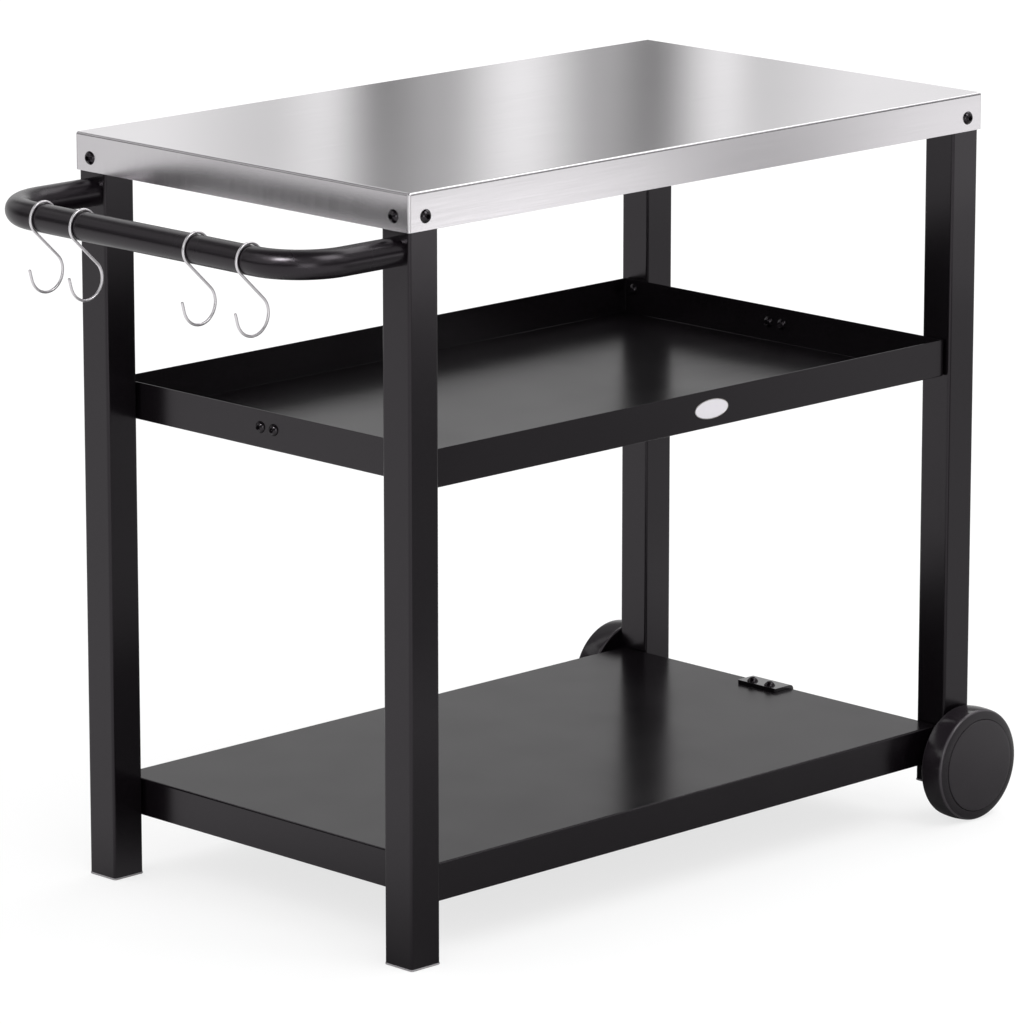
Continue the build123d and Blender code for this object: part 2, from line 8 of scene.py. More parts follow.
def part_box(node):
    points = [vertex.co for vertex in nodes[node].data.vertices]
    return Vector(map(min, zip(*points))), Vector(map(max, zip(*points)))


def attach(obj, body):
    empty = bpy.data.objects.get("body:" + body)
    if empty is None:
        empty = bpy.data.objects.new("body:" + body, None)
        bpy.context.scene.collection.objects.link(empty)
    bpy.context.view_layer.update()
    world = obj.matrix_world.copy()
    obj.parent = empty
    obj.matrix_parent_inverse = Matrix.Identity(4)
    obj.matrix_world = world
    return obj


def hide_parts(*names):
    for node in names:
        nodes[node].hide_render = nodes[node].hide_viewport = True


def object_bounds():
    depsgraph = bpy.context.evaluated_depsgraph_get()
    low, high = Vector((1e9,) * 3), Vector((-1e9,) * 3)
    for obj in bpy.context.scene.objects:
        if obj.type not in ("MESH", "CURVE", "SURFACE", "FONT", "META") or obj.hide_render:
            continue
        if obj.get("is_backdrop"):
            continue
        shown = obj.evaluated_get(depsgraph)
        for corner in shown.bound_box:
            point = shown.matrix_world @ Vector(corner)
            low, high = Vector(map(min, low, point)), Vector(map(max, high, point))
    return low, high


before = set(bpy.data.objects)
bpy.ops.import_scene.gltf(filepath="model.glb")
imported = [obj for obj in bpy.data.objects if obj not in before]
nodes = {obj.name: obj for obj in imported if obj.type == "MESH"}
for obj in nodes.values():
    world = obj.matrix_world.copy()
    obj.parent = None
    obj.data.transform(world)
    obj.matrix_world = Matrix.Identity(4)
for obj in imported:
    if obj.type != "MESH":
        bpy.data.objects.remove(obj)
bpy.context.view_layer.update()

# The photographer's place: a long lens nearly seven metres from the cart, turned between its front
# and its handle end and tipped down by thirteen degrees.
view_turn = 0.791995
view_dip = -0.232790
picture_side = 1024
focal_length_in_pixels = 6438.0
lens = bpy.data.cameras.new("long_lens")
lens.sensor_width = 36.0
lens.lens = focal_length_in_pixels / picture_side * lens.sensor_width
lens.clip_end = 100.0
camera = bpy.data.objects.new("camera", lens)
camera.location = (-4.66666, -4.74727, 1.95345)
camera.rotation_euler = (math.pi / 2 + view_dip, 0.0, view_turn - math.pi / 2)
bpy.context.scene.collection.objects.link(camera)
bpy.context.scene.camera = camera
bpy.context.scene.view_settings.view_transform = "Standard"


# The room: white all round for the light that it sheds. Shiny pieces see a sweep of pale paper
# beyond the cart instead, with a dimmer room above its horizon and behind the camera.
def linear(hex_colour):
    parts = [int(hex_colour[i:i + 2], 16) / 255 for i in (1, 3, 5)]
    return [c / 12.92 if c <= 0.04045 else ((c + 0.055) / 1.055) ** 2.4 for c in parts] + [1.0]


# Inputs are given by name, or by number where a node's names repeat: a Mix node takes numbers at 2
# and 3, vectors at 4 and 5 and colours at 6 and 7, and gives them at outputs 0, 1 and 2.
def add_node(tree, kind, settings=None, inputs=None):
    made = tree.nodes.new(kind)
    for name, value in (settings or {}).items():
        setattr(made, name, value)
    for name, value in (inputs or {}).items():
        if isinstance(value, bpy.types.NodeSocket):
            tree.links.new(value, made.inputs[name])
        else:
            made.inputs[name].default_value = value
    return made


def set_stops(ramp, stops):
    elements = ramp.color_ramp.elements
    while len(elements) < len(stops):
        elements.new(1.0)
    for element, (position, grey) in zip(elements, stops):
        element.position = position
        element.color = (grey, grey, grey, 1.0)


ahead = Vector((math.cos(view_turn), math.sin(view_turn), 0.0))
greys_by_height = [(0.0, 0.6), (0.26, 0.6), (0.34, 0.38), (0.5, 0.2), (0.85, 0.4), (1.0, 0.6)]
world = bpy.data.worlds.new("studio")
bpy.context.scene.world = world
world.use_nodes = True
tree = world.node_tree
tree.nodes.clear()
way_out = add_node(tree, "ShaderNodeTexCoord").outputs["Generated"]
way_up = add_node(tree, "ShaderNodeSeparateXYZ", inputs={0: way_out}).outputs["Z"]
sweep = add_node(tree, "ShaderNodeValToRGB", inputs={"Fac": way_up})
set_stops(sweep, greys_by_height)
beyond = add_node(tree, "ShaderNodeVectorMath", {"operation": "DOT_PRODUCT"}, {0: way_out, 1: ahead})
beyond = add_node(tree, "ShaderNodeMapRange", {"interpolation_type": "SMOOTHSTEP"}, {
    "Value": beyond.outputs["Value"],
    "From Min": 0.1,
    "From Max": 0.8,
    "To Min": 0.06,
    "To Max": 1.0,
})
white = add_node(tree, "ShaderNodeBackground", inputs={"Color": linear("#ffffff"), "Strength": 1.0})
room = add_node(tree, "ShaderNodeBackground", inputs={
    "Color": sweep.outputs["Color"],
    "Strength": beyond.outputs["Result"],
})
path = add_node(tree, "ShaderNodeLightPath")
both = add_node(tree, "ShaderNodeMixShader", inputs={
    0: path.outputs["Is Glossy Ray"],
    1: white.outputs[0],
    2: room.outputs[0],
})
add_node(tree, "ShaderNodeOutputWorld", inputs={"Surface": both.outputs[0]})

# The lamps: four soft boxes turned to the cart, beyond its handle end, over its front, beyond its
# wheel end and beside the camera. Places and sizes are in metres, powers in watts.
lamps_look_at = Vector((0.05, 0.0, 0.5))
for name, stands_at, width, height, power in (
    ("handle_side_lamp", (-2.9, 0.9, 2.6), 3.0, 3.0, 30.0),
    ("front_lamp", (0.3, -2.4, 3.6), 1.8, 1.8, 45.0),
    ("wheel_end_lamp", (2.0, 0.2, 2.7), 3.0, 1.8, 38.0),
    ("camera_side_lamp", (-1.9, -2.4, 1.5), 1.2, 2.4, 22.0),
):
    lamp = bpy.data.lights.new(name, "AREA")
    lamp.shape = "RECTANGLE"
    lamp.size = width
    lamp.size_y = height
    lamp.energy = power
    stand = bpy.data.objects.new(name, lamp)
    stand.location = stands_at
    stand.rotation_euler = (lamps_look_at - Vector(stands_at)).to_track_quat("-Z", "Y").to_euler()
    bpy.context.scene.collection.objects.link(stand)


# The floor: a wide sheet of matt white paper just under the feet, which keeps the cart's shadow. To
# the camera it glows a little, shiny pieces see that glow only away from the cart, so that close to
# it they mirror a painted shade, and other surfaces get none of it.
def blank_finish(name):
    finish = bpy.data.materials.new(name)
    finish.use_nodes = True
    tree = finish.node_tree
    tree.nodes.clear()
    return finish, tree, add_node(tree, "ShaderNodeTexCoord").outputs["Object"]


def kept_mesh(name, shape):
    mesh = bpy.data.meshes.new(name)
    shape.to_mesh(mesh)
    shape.free()
    return mesh


def made_of(name, shape, coats):
    mesh = kept_mesh(name, shape)
    for coat in coats:
        mesh.materials.append(coat)
    made = bpy.data.objects.new(name, mesh)
    bpy.context.scene.collection.objects.link(made)
    return made


shadow_middle = (0.15, -0.3, 0.0)
half_side = 20.0
below_feet = 0.0002
paper, tree, place = blank_finish("white_paper")
from_cart = add_node(tree, "ShaderNodeVectorMath", {"operation": "DISTANCE"}, {0: place, 1: shadow_middle})
glow_seen = add_node(tree, "ShaderNodeMapRange", {"interpolation_type": "SMOOTHSTEP"}, {
    "Value": from_cart.outputs["Value"],
    "From Min": 1.0,
    "From Max": 5.0,
    "To Min": 0.74,
    "To Max": 0.86,
})
# Painted shade for reflections: the glow that shiny pieces see fades to nothing close to the cart.
mirrored_glow_with_painted_shade = add_node(tree, "ShaderNodeMapRange", {"interpolation_type": "SMOOTHSTEP"}, {
    "Value": from_cart.outputs["Value"],
    "From Min": 0.4,
    "From Max": 1.0,
    "To Min": 0.0,
    "To Max": 0.52,
})
path = add_node(tree, "ShaderNodeLightPath")
level = add_node(tree, "ShaderNodeMix", inputs={
    0: path.outputs["Is Camera Ray"],
    2: mirrored_glow_with_painted_shade.outputs["Result"],
    3: glow_seen.outputs["Result"],
})
not_shed = add_node(tree, "ShaderNodeMath", {"operation": "SUBTRACT", "use_clamp": True}, {
    0: 1.0,
    1: path.outputs["Is Diffuse Ray"],
})
level = add_node(tree, "ShaderNodeMath", {"operation": "MULTIPLY"}, {
    0: level.outputs[0],
    1: not_shed.outputs[0],
})
matt = add_node(tree, "ShaderNodeBsdfDiffuse", inputs={"Color": linear("#828282")})
glow = add_node(tree, "ShaderNodeEmission", inputs={
    "Color": linear("#ffffff"),
    "Strength": level.outputs[0],
})
lit = add_node(tree, "ShaderNodeAddShader", inputs={0: matt.outputs[0], 1: glow.outputs[0]})
add_node(tree, "ShaderNodeOutputMaterial", inputs={"Surface": lit.outputs[0]})
shape = bmesh.new()
bmesh.ops.create_grid(shape, x_segments=1, y_segments=1, size=half_side)
bmesh.ops.translate(shape, vec=(0, 0, -below_feet), verts=shape.verts)
floor = made_of("floor", shape, [paper])
floor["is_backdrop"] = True

# The cards that only shiny pieces see: a striped one beyond the cart and three farther off band the
# steel top, two low ones shade the front's flange and black faces, and a small bright one, which
# shines on the handle and two sets of bolts alone, gives those their glints.
upwards = Vector((0, 0, 1))
across = Vector((math.sin(view_turn), -math.cos(view_turn), 0.0))


def reflection_card(name, middle, facing, half_width, half_height, along, stops, tilt=0.0):
    start = stops[0][0]
    length = stops[-1][0] - start
    finish, tree, place = blank_finish(name)
    place = add_node(tree, "ShaderNodeVectorMath", {"operation": "DOT_PRODUCT"}, {0: place, 1: along})
    place = add_node(tree, "ShaderNodeMapRange", inputs={
        "Value": place.outputs["Value"],
        "From Min": start,
        "From Max": stops[-1][0],
    })
    bands = add_node(tree, "ShaderNodeValToRGB", inputs={"Fac": place.outputs["Result"]})
    bands.color_ramp.interpolation = "EASE"
    set_stops(bands, [((at - start) / length, grey) for at, grey in stops])
    light = add_node(tree, "ShaderNodeEmission", inputs={"Color": bands.outputs["Color"], "Strength": 1.0})
    add_node(tree, "ShaderNodeOutputMaterial", inputs={"Surface": light.outputs[0]})
    stood_up = Matrix((upwards.cross(facing), upwards, facing)).transposed().to_4x4()
    shape = bmesh.new()
    bmesh.ops.create_grid(shape, x_segments=1, y_segments=1, size=1.0)
    bmesh.ops.scale(shape, vec=(half_width, half_height, 1.0), verts=shape.verts)
    bmesh.ops.rotate(shape, cent=(0, 0, 0), matrix=Matrix.Rotation(tilt, 3, "Z"), verts=shape.verts)
    bmesh.ops.transform(shape, matrix=stood_up, verts=shape.verts)
    bmesh.ops.translate(shape, vec=middle, verts=shape.verts)
    made = made_of(name, shape, [finish])
    for ray in ("camera", "diffuse", "transmission", "volume_scatter", "shadow"):
        setattr(made, "visible_" + ray, False)
    made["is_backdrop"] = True
    return made


stripes = [
    (-0.432, 0.96), (-0.27, 0.7), (-0.21, 0.92), (-0.138, 0.23), (-0.072, 0.42), (0.0216, 1.0),
    (0.12, 0.4), (0.1776, 0.19), (0.26, 0.95), (0.306, 0.68), (0.432, 0.93),
]
far_spread = 1.8
far_dimming = 0.8
far_stripes = [(at * far_spread, grey * far_dimming) for at, grey in stripes]
reflection_card(
    "striped_card", middle=ahead * 0.8 + upwards * 1.43, facing=-ahead,
    half_width=0.9, half_height=0.6, along=across, stops=stripes,
)
for name, way_off in (("far_card_front", -ahead), ("far_card_left", -across), ("far_card_right", across)):
    reflection_card(
        name, middle=way_off * 1.7 + upwards * 1.65, facing=-way_off,
        half_width=1.5, half_height=0.5, along=upwards.cross(way_off), stops=far_stripes,
    )
reflection_card(
    "flange_card", middle=across * 1.0 - ahead * 0.15 + upwards * 0.59, facing=-across,
    half_width=0.46, half_height=0.078, along=ahead, tilt=view_dip,
    stops=[(-0.6, 1.55), (-0.43, 1.55), (-0.3, 1.4), (-0.07, 0.46), (0.14, 1.1), (0.4, 1.1)],
)
reflection_card(
    "front_card", middle=across * 1.0 + upwards * 0.245, facing=-across,
    half_width=0.9, half_height=0.24, along=ahead,
    stops=[(-0.6, 0.3), (-0.43, 0.3), (-0.15, 0.38), (-0.02, 0.52), (0.14, 0.6)],
)
glint_card = reflection_card(
    "glint_card", middle=Vector((-1.9, -0.5, 2.3)), facing=Vector((1, 0, 0)),
    half_width=0.4, half_height=0.4, along=Vector((0, 1, 0)),
    stops=[(-0.9, 8.0), (-0.65, 45.0), (-0.35, 45.0), (-0.1, 8.0)],
)
glinting = bpy.data.collections.new("glinting_pieces")
glint_card.light_linking.receiver_collection = glinting


# The legs: four lengths of 40 mm square steel tube with rounded corners, drilled for the inserts
# and powder coated. Two stand on the floor, and two shorter ones carry the wheels.
def surfaced(tree, inputs):
    shader = add_node(tree, "ShaderNodeBsdfPrincipled", inputs=inputs)
    add_node(tree, "ShaderNodeOutputMaterial", inputs={"Surface": shader.outputs[0]})


def black_coat(name, deep, pale, low_rough, high_rough, peel_size, peel_depth, lacquer=None):
    cloud_size = 0.09
    finish, tree, place = blank_finish(name)
    cloud = add_node(tree, "ShaderNodeTexNoise", inputs={
        "Vector": place,
        "Scale": 1 / cloud_size,
        "Detail": 3.0,
    })
    peel = add_node(tree, "ShaderNodeTexNoise", inputs={
        "Vector": place,
        "Scale": 1 / peel_size,
        "Detail": 2.0,
    })
    tint = add_node(tree, "ShaderNodeMix", {"data_type": "RGBA"}, {
        0: cloud.outputs["Fac"],
        6: linear(deep),
        7: linear(pale),
    })
    rough = add_node(tree, "ShaderNodeMapRange", inputs={
        "Value": cloud.outputs["Fac"],
        "From Min": 0.3,
        "From Max": 0.7,
        "To Min": low_rough,
        "To Max": high_rough,
    })
    bump = add_node(tree, "ShaderNodeBump", inputs={
        "Height": peel.outputs["Fac"],
        "Strength": 1.0,
        "Distance": peel_depth,
    })
    surfaced(tree, {
        "Base Color": tint.outputs[2],
        "Roughness": rough.outputs["Result"],
        "Normal": bump.outputs["Normal"],
        "Specular Tint": linear("#fff6ff"),
        **(lacquer or {}),
    })
    return finish


def recoated(names, finish):
    for name in names:
        nodes[name].data.materials.clear()
        nodes[name].data.materials.append(finish)


# Black powder coat, baked satin: its reflections are soft and a little wavy, from the orange peel
# that the powder leaves as it melts, and its black leans faintly to violet.
satin_black = black_coat(
    "satin_black_powder_coat", "#040204", "#070507",
    low_rough=0.2, high_rough=0.24, peel_size=0.0025, peel_depth=0.000006,
)
legs = ("leg_handle_front", "leg_handle_back", "leg_wheel_front", "leg_wheel_back")
recoated(legs, satin_black)

# The caps under the legs: moulded grey polyethylene, pressed into the tubes, each with a thin
# plate that stands half a millimetre proud of the tube.
grain_size = 0.0012
grey_plastic, tree, place = blank_finish("grey_polyethylene")
# The tool's fine grain makes the plastic dull, with a slight fleck in its grey.
grain = add_node(tree, "ShaderNodeTexNoise", inputs={
    "Vector": place,
    "Scale": 1 / grain_size,
    "Detail": 2.0,
})
tint = add_node(tree, "ShaderNodeMix", {"data_type": "RGBA"}, {
    0: grain.outputs["Fac"],
    6: linear("#949194"),
    7: linear("#a3a0a3"),
})
bump = add_node(tree, "ShaderNodeBump", inputs={
    "Height": grain.outputs["Fac"],
    "Strength": 0.5,
    "Distance": 0.00005,
})
surfaced(tree, {
    "Base Color": tint.outputs[2],
    "Normal": bump.outputs["Normal"],
    "Roughness": 0.55,
})
recoated(("foot_cap_front", "foot_cap_back", "leg_cap_front", "leg_cap_back"), grey_plastic)


# The tabletop: one stainless sheet, 1.2 mm, with its four sides folded down. The front and back
# flanges are drawn round the corners, and the end flanges stop against them with a thin seam.
def finished(name, shape, coats, body, replaced, flat_sheet=False):
    crease_angle = math.radians(38)
    bmesh.ops.recalc_face_normals(shape, faces=shape.faces)
    for face in shape.faces:
        face.smooth = True
    for edge in shape.edges:
        edge.smooth = len(edge.link_faces) == 2 and edge.calc_face_angle() < crease_angle
    made = made_of(name, shape, coats)
    if flat_sheet:
        level = made.modifiers.new("level_faces", "WEIGHTED_NORMAL")
        level.keep_sharp = True
    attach(made, body)
    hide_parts(*replaced)
    return made


def middle_of(name):
    low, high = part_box(name)
    return (low + high) / 2


def moved(shape, geometry, offset):
    corners = [v for v in geometry if isinstance(v, bmesh.types.BMVert)]
    bmesh.ops.translate(shape, vec=offset, verts=corners)


# A line of edges drawn out straight, and one swept round a bend: both give the line at the far end.
def run_on(shape, line, offset):
    made = set(bmesh.ops.extrude_edge_only(shape, edges=line)["geom"])
    moved(shape, made, offset)
    return [e for e in shape.edges if e.is_boundary and all(v in made for v in e.verts)]


def bent_on(shape, line, bend_middle, axis, angle, steps):
    corners = list(dict.fromkeys(v for e in line for v in e.verts))
    bent = bmesh.ops.spin(shape, geom=line + corners, cent=bend_middle, axis=axis, angle=angle, steps=steps)
    return [e for e in bent["geom_last"] if isinstance(e, bmesh.types.BMEdge)]


def eased(shape, edges, size, segments=2):
    bmesh.ops.bevel(
        shape, geom=edges, affect="EDGES", offset=size, segments=segments, profile=0.5, material=-1,
    )


def sharp_edges(shape):
    sharp = math.radians(60)
    return [e for e in shape.edges if len(e.link_faces) == 2 and e.calc_face_angle() > sharp]


# Stainless sheet, brushed: a bright grey that smears what it mirrors across the brushing, which runs
# along the top and the long flanges and down the end ones. The brushed lines are drawn 1.1 mm wide,
# coarser than the real ones, so that they show.
line_length = 0.09
line_width = 0.0011
cloud_size = 0.15
end_facing = 0.7
steel, tree, place = blank_finish("brushed_stainless_steel")
lengthways = add_node(tree, "ShaderNodeMapping", inputs={
    "Vector": place,
    "Scale": (1 / line_length, 1 / line_width, 1 / line_width),
})
downwards = add_node(tree, "ShaderNodeMapping", inputs={
    "Vector": place,
    "Scale": (1 / line_width, 1 / line_width, 1 / line_length),
})
facing = add_node(tree, "ShaderNodeSeparateXYZ", inputs={0: place.node.outputs["Normal"]})
facing = add_node(tree, "ShaderNodeMath", {"operation": "ABSOLUTE"}, {0: facing.outputs["X"]})
facing = add_node(tree, "ShaderNodeMath", {"operation": "GREATER_THAN"}, {
    0: facing.outputs[0],
    1: end_facing,
})
brushing = add_node(tree, "ShaderNodeMix", {"data_type": "VECTOR"}, {
    0: facing.outputs[0],
    4: lengthways.outputs[0],
    5: downwards.outputs[0],
})
grain = add_node(tree, "ShaderNodeTexNoise", inputs={
    "Vector": brushing.outputs[1],
    "Scale": 1.0,
    "Detail": 3.0,
})
cloud = add_node(tree, "ShaderNodeTexNoise", inputs={
    "Vector": place,
    "Scale": 1 / cloud_size,
    "Detail": 2.0,
})
tint = add_node(tree, "ShaderNodeMix", {"data_type": "RGBA"}, {
    0: cloud.outputs["Fac"],
    6: linear("#d9d6d9"),
    7: linear("#dfdcdf"),
})
rough = add_node(tree, "ShaderNodeMapRange", inputs={
    "Value": grain.outputs["Fac"],
    "From Min": 0.3,
    "From Max": 0.7,
    "To Min": 0.19,
    "To Max": 0.24,
})
bump = add_node(tree, "ShaderNodeBump", inputs={
    "Height": grain.outputs["Fac"],
    "Strength": 0.5,
    "Distance": 0.000004,
})
surfaced(tree, {
    "Base Color": tint.outputs[2],
    "Roughness": rough.outputs["Result"],
    "Normal": bump.outputs["Normal"],
    "Metallic": 1.0,
})

fold = 0.003
sheet = 0.0012
seam = 0.0003
cut_edge = 0.0002
fold_steps = 8
touching = 0.000001
level_with = 0.00001
quarter = math.pi / 2
top_low, top_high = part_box("tabletop")
middle = (top_low + top_high) / 2
top_middle = Vector((middle.x, middle.y, top_high.z))
half_flat = (top_high - top_low) / 2 - Vector((fold, fold, 0))
shape = bmesh.new()
bmesh.ops.create_grid(shape, x_segments=1, y_segments=1, size=1.0)
bmesh.ops.scale(shape, vec=(half_flat.x, half_flat.y, 1.0), verts=shape.verts)
bmesh.ops.translate(shape, vec=top_middle, verts=shape.verts)
for edge in list(shape.edges):
    there = (edge.verts[0].co + edge.verts[1].co) / 2
    outwards = (there - top_middle).normalized()
    fold_middle = there - Vector((0, 0, fold))
    line = bent_on(shape, [edge], fold_middle, upwards.cross(outwards), quarter, fold_steps)
    run_on(shape, line, (0, 0, top_low.z - top_high.z + fold))
    if abs(outwards.y) < 0.5:
        continue
    for corner in [v.co.copy() for v in edge.verts]:
        rim = [
            e for e in shape.edges
            if e.is_boundary and all(
                abs(v.co.x - corner.x) < touching and (v.co.y - corner.y) * outwards.y > -touching
                for v in e.verts
            )
        ]
        axis = outwards.cross(corner - there).normalized()
        bent_on(shape, rim, corner, axis, quarter - seam / fold, fold_steps)
bmesh.ops.remove_doubles(shape, verts=shape.verts, dist=touching)
bmesh.ops.recalc_face_normals(shape, faces=shape.faces)
bmesh.ops.solidify(shape, geom=shape.faces[:], thickness=sheet)
flange_top = top_high.z - fold + level_with
eased(shape, [e for e in sharp_edges(shape) if max(v.co.z for v in e.verts) < flange_top], cut_edge)
finished("tabletop_sheet", shape, [steel], "cart", ["tabletop"], True)

# The stiffener under the tabletop: a hat section of galvanised sheet, spot welded to its underside,
# with the flaked grey of hot-dipped zinc.
flake_size = 0.009
galvanised, tree, place = blank_finish("galvanised_sheet")
# Each flake of the zinc has its own grey and its own dullness.
flake = add_node(tree, "ShaderNodeTexVoronoi", inputs={"Vector": place, "Scale": 1 / flake_size})
shade = add_node(tree, "ShaderNodeSeparateColor", inputs={0: flake.outputs["Color"]})
tint = add_node(tree, "ShaderNodeMix", {"data_type": "RGBA"}, {
    0: shade.outputs[0],
    6: linear("#9c9d9f"),
    7: linear("#b9babc"),
})
rough = add_node(tree, "ShaderNodeMapRange", inputs={
    "Value": shade.outputs[1],
    "To Min": 0.38,
    "To Max": 0.55,
})
surfaced(tree, {
    "Base Color": tint.outputs[2],
    "Roughness": rough.outputs["Result"],
    "Metallic": 1.0,
})
recoated(["top_stiffener"], galvanised)


# The tabletop screws: eight dome heads with hexagon sockets, one through each flange at each leg.
# Steel, blackened and lacquered; each socket stands at the turn where its screw came tight.
def turned(shape, outline, steps):
    radius, height = outline[0]
    last = bmesh.ops.create_vert(shape, co=(radius, 0.0, height))["vert"][0]
    for radius, height in outline[1:]:
        last = bmesh.ops.extrude_vert_indiv(shape, verts=[last])["verts"][0]
        last.co = (radius, 0.0, height)
    bmesh.ops.spin(
        shape, geom=shape.verts[:] + shape.edges[:], cent=(0, 0, 0), axis=(0, 0, 1),
        angle=2 * math.pi, steps=steps, use_merge=True,
    )
    bmesh.ops.remove_doubles(shape, verts=shape.verts, dist=touching)


def dome_screw(head, height, thread, length):
    mouth = 0.00305
    mouth_slope = 0.0002
    socket = 0.005
    socket_depth = 0.0026
    pitch = 0.001
    thread_depth = 0.0004
    tip_depth = 0.0006
    dome_steps = 8
    dome_radius = (head**2 / 4 + height**2) / (2 * height)
    outline = []
    for i in range(dome_steps + 1):
        radius = mouth + (head / 2 - mouth) * math.sin(i / dome_steps * quarter)
        outline.append((radius, height - dome_radius + math.sqrt(dome_radius**2 - radius**2)))
    outline.append((thread / 2, 0.0))
    for i in range(1, round(length / pitch - 1)):
        outline.append((thread / 2, -i * pitch))
        outline.append((thread / 2 - thread_depth, -(i + 0.5) * pitch))
    outline += [(thread / 2 - tip_depth, -length), (0.0, -length)]
    shape = bmesh.new()
    turned(shape, outline, steps=24)
    for drop in (mouth_slope, socket_depth):
        wall = bmesh.ops.extrude_edge_only(shape, edges=[e for e in shape.edges if e.is_boundary])["geom"]
        for corner in [v for v in wall if isinstance(v, bmesh.types.BMVert)]:
            turn = math.atan2(corner.co.y, corner.co.x)
            reach = socket / 2 / math.cos(turn % (math.pi / 3) - math.pi / 6)
            corner.co = (reach * math.cos(turn), reach * math.sin(turn), corner.co.z - drop)
    bmesh.ops.holes_fill(shape, edges=[e for e in shape.edges if e.is_boundary])
    return kept_mesh("dome_screw", shape)


def set_at(one, places):
    first_turn = 0.4
    next_turn = 0.73
    shape = bmesh.new()
    for count, (spot, outwards) in enumerate(places):
        before = len(shape.verts)
        shape.from_mesh(one)
        shape.verts.ensure_lookup_table()
        turn = Matrix.Rotation(first_turn + next_turn * count, 4, "Z")
        aim = Vector(outwards).to_track_quat("Z", "Y").to_matrix().to_4x4()
        bmesh.ops.transform(shape, matrix=Matrix.Translation(spot) @ aim @ turn, verts=shape.verts[before:])
    return shape


# Blackened steel under lacquer: nearly a mirror, so the domes show small bright lamps on black.
blackened = black_coat(
    "blackened_screw_steel", "#040204", "#070507",
    low_rough=0.09, high_rough=0.12, peel_size=0.004, peel_depth=0.000002,
)
leg_middles = [middle_of(name) for name in legs]
screw_height = middle_of("tabletop_screws").z
places = []
for leg in leg_middles:
    end = -1 if leg.x < middle.x else 1
    side = -1 if leg.y < middle.y else 1
    places.append(((top_low.x if end < 0 else top_high.x, leg.y, screw_height), (end, 0, 0)))
    places.append(((leg.x, top_low.y if side < 0 else top_high.y, screw_height), (0, side, 0)))
flange_screw = dome_screw(head=0.0145, height=0.0045, thread=0.006, length=0.0137)
screws = set_at(flange_screw, places)
finished("tabletop_screw_set", screws, [blackened], "cart", ["tabletop_screws"])

# The middle tray: 1.2 mm steel sheet, its four sides folded up and its corners welded and ground,
# then powder coated like the legs; the sheet's cut edge shows round the rim.
pan_sheet = 0.0012
tray_fold = 0.0015
tray_low, tray_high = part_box("middle_tray")


def folded_pan(low, high, fold, plate_level, rim_level):
    rim_edge = 0.0003
    shape = bmesh.new()
    bmesh.ops.create_grid(shape, x_segments=1, y_segments=1, size=0.5)
    bmesh.ops.scale(shape, vec=(high.x - low.x, high.y - low.y, 1.0), verts=shape.verts)
    plate_middle = ((low.x + high.x) / 2, (low.y + high.y) / 2, plate_level)
    bmesh.ops.translate(shape, vec=plate_middle, verts=shape.verts)
    run_on(shape, shape.edges[:], (0, 0, rim_level - plate_level))
    eased(shape, [e for e in shape.edges if len(e.link_faces) == 2], fold, segments=6)
    bmesh.ops.recalc_face_normals(shape, faces=shape.faces)
    bmesh.ops.solidify(shape, geom=shape.faces[:], thickness=pan_sheet)
    rim = [e for e in sharp_edges(shape) if abs(e.verts[0].co.z - rim_level) < level_with]
    eased(shape, rim, rim_edge)
    return shape


tray = folded_pan(tray_low, tray_high, tray_fold, plate_level=tray_low.z, rim_level=tray_high.z)
finished("middle_tray_pan", tray, [satin_black], "cart", ["middle_tray"], True)


# The tray's bolts: one in each corner, from inside the tray into the leg's insert, and a pair in
# the middle of each end wall with their heads to the handle end, all of the tabletop screws' kind.
def inside_corners(low, high, height):
    places = []
    for leg in leg_middles:
        inwards = 1 if leg.x < middle.x else -1
        wall = low.x + pan_sheet if inwards > 0 else high.x - pan_sheet
        places.append(((wall, leg.y, height), (inwards, 0, 0)))
    return places


corner_bolt = dome_screw(head=0.013, height=0.0045, thread=0.006, length=0.0137)
bolts = set_at(corner_bolt, inside_corners(tray_low, tray_high, middle_of("tray_corner_bolts").z))
finished("tray_corner_bolt_set", bolts, [blackened], "cart", ["tray_corner_bolts"])
end_bolt = dome_screw(head=0.013, height=0.0045, thread=0.006, length=0.0082)
half_spacing = 0.010
pair = middle_of("tray_end_bolts")
places = []
for wall in (tray_low.x, tray_high.x - pan_sheet):
    for y in (pair.y - half_spacing, pair.y + half_spacing):
        places.append(((wall, y, pair.z), (-1, 0, 0)))
bolts = set_at(end_bolt, places)
bolts = finished("tray_end_bolt_set", bolts, [blackened], "cart", ["tray_end_bolts"])
glinting.objects.link(bolts)

# The label plate on the tray's front wall: a small oval of pressed aluminium with a bright lip
# round a plain white enamelled field; it is stuck on.
grain_size = 0.0006
bright_lip, tree, place = blank_finish("bright_aluminium_lip")
# Pressed aluminium: a pale bright line with a fine grain in its shine.
grain = add_node(tree, "ShaderNodeTexNoise", inputs={
    "Vector": place,
    "Scale": 1 / grain_size,
    "Detail": 2.0,
})
rough = add_node(tree, "ShaderNodeMapRange", inputs={
    "Value": grain.outputs["Fac"],
    "To Min": 0.2,
    "To Max": 0.36,
})
surfaced(tree, {
    "Base Color": linear("#c9c6c4"),
    "Roughness": rough.outputs["Result"],
    "Metallic": 1.0,
})
cloud_size = 0.012
enamel, tree, place = blank_finish("white_enamel")
